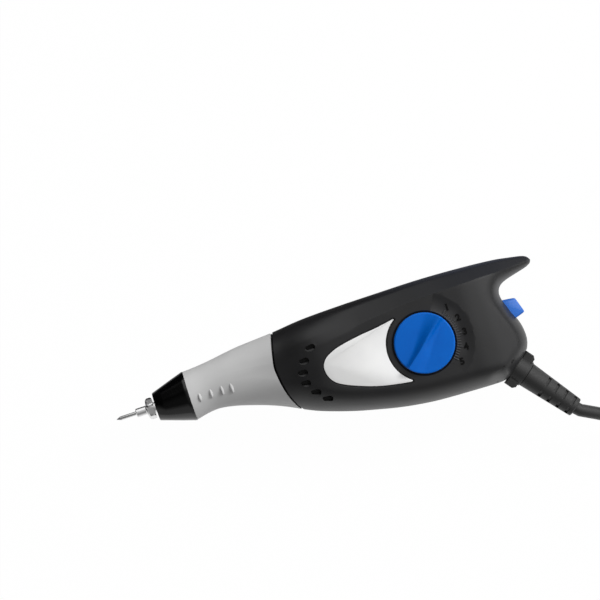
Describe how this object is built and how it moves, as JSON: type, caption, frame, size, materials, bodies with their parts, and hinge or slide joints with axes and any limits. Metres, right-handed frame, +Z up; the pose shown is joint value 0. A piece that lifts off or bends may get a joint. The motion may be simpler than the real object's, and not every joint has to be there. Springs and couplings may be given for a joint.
{
  "type": "electric engraving pen",
  "caption": "Hand-held mains vibrating engraver with a grey grip, a round stroke dial, a bare side plate, a slide switch and a coiled cord with plug.",
  "frame": {"origin": "centre of the footprint of the tool without its cord, at the surface it lies on", "axes": "+X from the cutting point to the tail along the spindle, +Y to the spine, +Z up out of the dial's side"},
  "size_m": [0.3117, 0.1123, 0.0462],
  "materials": {
    "housing_black": "satin moulded",
    "cap_black": "glossy",
    "grip_grey": "matt moulded",
    "dial_blue": "satin gloss",
    "bright_steel": "bright ground",
    "bush_bronze": "sintered bronze",
    "core_steel": "laminated steel",
    "winding_copper": "enamelled copper wire",
    "nylon_white": "natural nylon",
    "plate_silver": "satin",
    "guard_rubber": "matt"
  },
  "bodies": {
    "housing": {"housing_left": "housing_black", "housing_right": "housing_black", "grip_sleeve": "grip_grey", "nose_cap": "cap_black", "front_bush": "bush_bronze", "rear_bush": "bush_bronze", "name_plate": "plate_silver", "field_core": "core_steel", "core_rivet_1": "bright_steel", "core_rivet_2": "bright_steel", "coil_bobbin": "nylon_white", "field_winding": "winding_copper", "armature_pin": "bright_steel", "switch_body": "housing_black", "housing_screw_1": "bright_steel", "housing_screw_2": "bright_steel", "housing_screw_3": "bright_steel", "housing_screw_4": "bright_steel", "housing_screw_5": "bright_steel", "cord_guard": "guard_rubber", "cord_inner": "guard_rubber", "cord_clamp": "nylon_white", "clamp_screw_1": "bright_steel", "clamp_screw_2": "bright_steel", "cord_lead": "guard_rubber", "cord_coil": "guard_rubber", "cord_tail": "guard_rubber", "plug_body": "guard_rubber", "plug_blade_1": "bright_steel", "plug_blade_2": "bright_steel", "return_spring": "bright_steel", "stroke_spring": "bright_steel"},
    "spindle": {"spindle": "bright_steel"},
    "chuck": {"chuck_nut": "bright_steel"},
    "point": {"engraving_point": "bright_steel", "carbide_tip": "core_steel"},
    "armature": {"armature": "core_steel"},
    "dial": {"stroke_dial": "dial_blue", "dial_cam": "nylon_white", "dial_clip": "bright_steel"},
    "follower": {"cam_follower": "nylon_white"},
    "switch": {"switch_slider": "dial_blue"}
  },
  "joints": [
    {"name": "spindle_stroke", "type": "slide", "parent": "housing", "child": "spindle", "axis": [1, 0, 0], "range_m": [0, 0.001], "stiffness_N_per_m": 1500, "springref_m": -0.002, "deforming": ["return_spring"]},
    {"name": "armature_swing", "type": "hinge", "parent": "housing", "child": "armature", "pos_m": [0.0168, 0.01714, 0.016], "axis": [0, 0, 1], "range_deg": [0, 7.16]},
    {"name": "dial_turn", "type": "hinge", "parent": "housing", "child": "dial", "pos_m": [0.03995, 0.00014, 0.042], "axis": [0, 0, 1], "range_deg": [-84, 0]},
    {"name": "follower_shift", "type": "slide", "parent": "housing", "child": "follower", "axis": [-1, 0, 0], "range_m": [0, 0.0012], "deforming": ["stroke_spring"]},
    {"name": "switch_slide", "type": "slide", "parent": "housing", "child": "switch", "axis": [-0.309, 0.9511, 0], "range_m": [0, 0.003]},
    {"name": "chuck_turn", "type": "hinge", "parent": "spindle", "child": "chuck", "pos_m": [-0.085, 0.00914, 0.021], "axis": [1, 0, 0], "continuous": true},
    {"name": "point_withdraw", "type": "slide", "parent": "spindle", "child": "point", "axis": [-1, 0, 0], "range_m": [0, 0.03]}
  ],
  "couplings": [
    {"joint": "armature_swing", "follows": "spindle_stroke", "rad_per_m": 125},
    {"joint": "follower_shift", "follows": "dial_turn", "m_per_rad": -0.0008185}
  ]
}
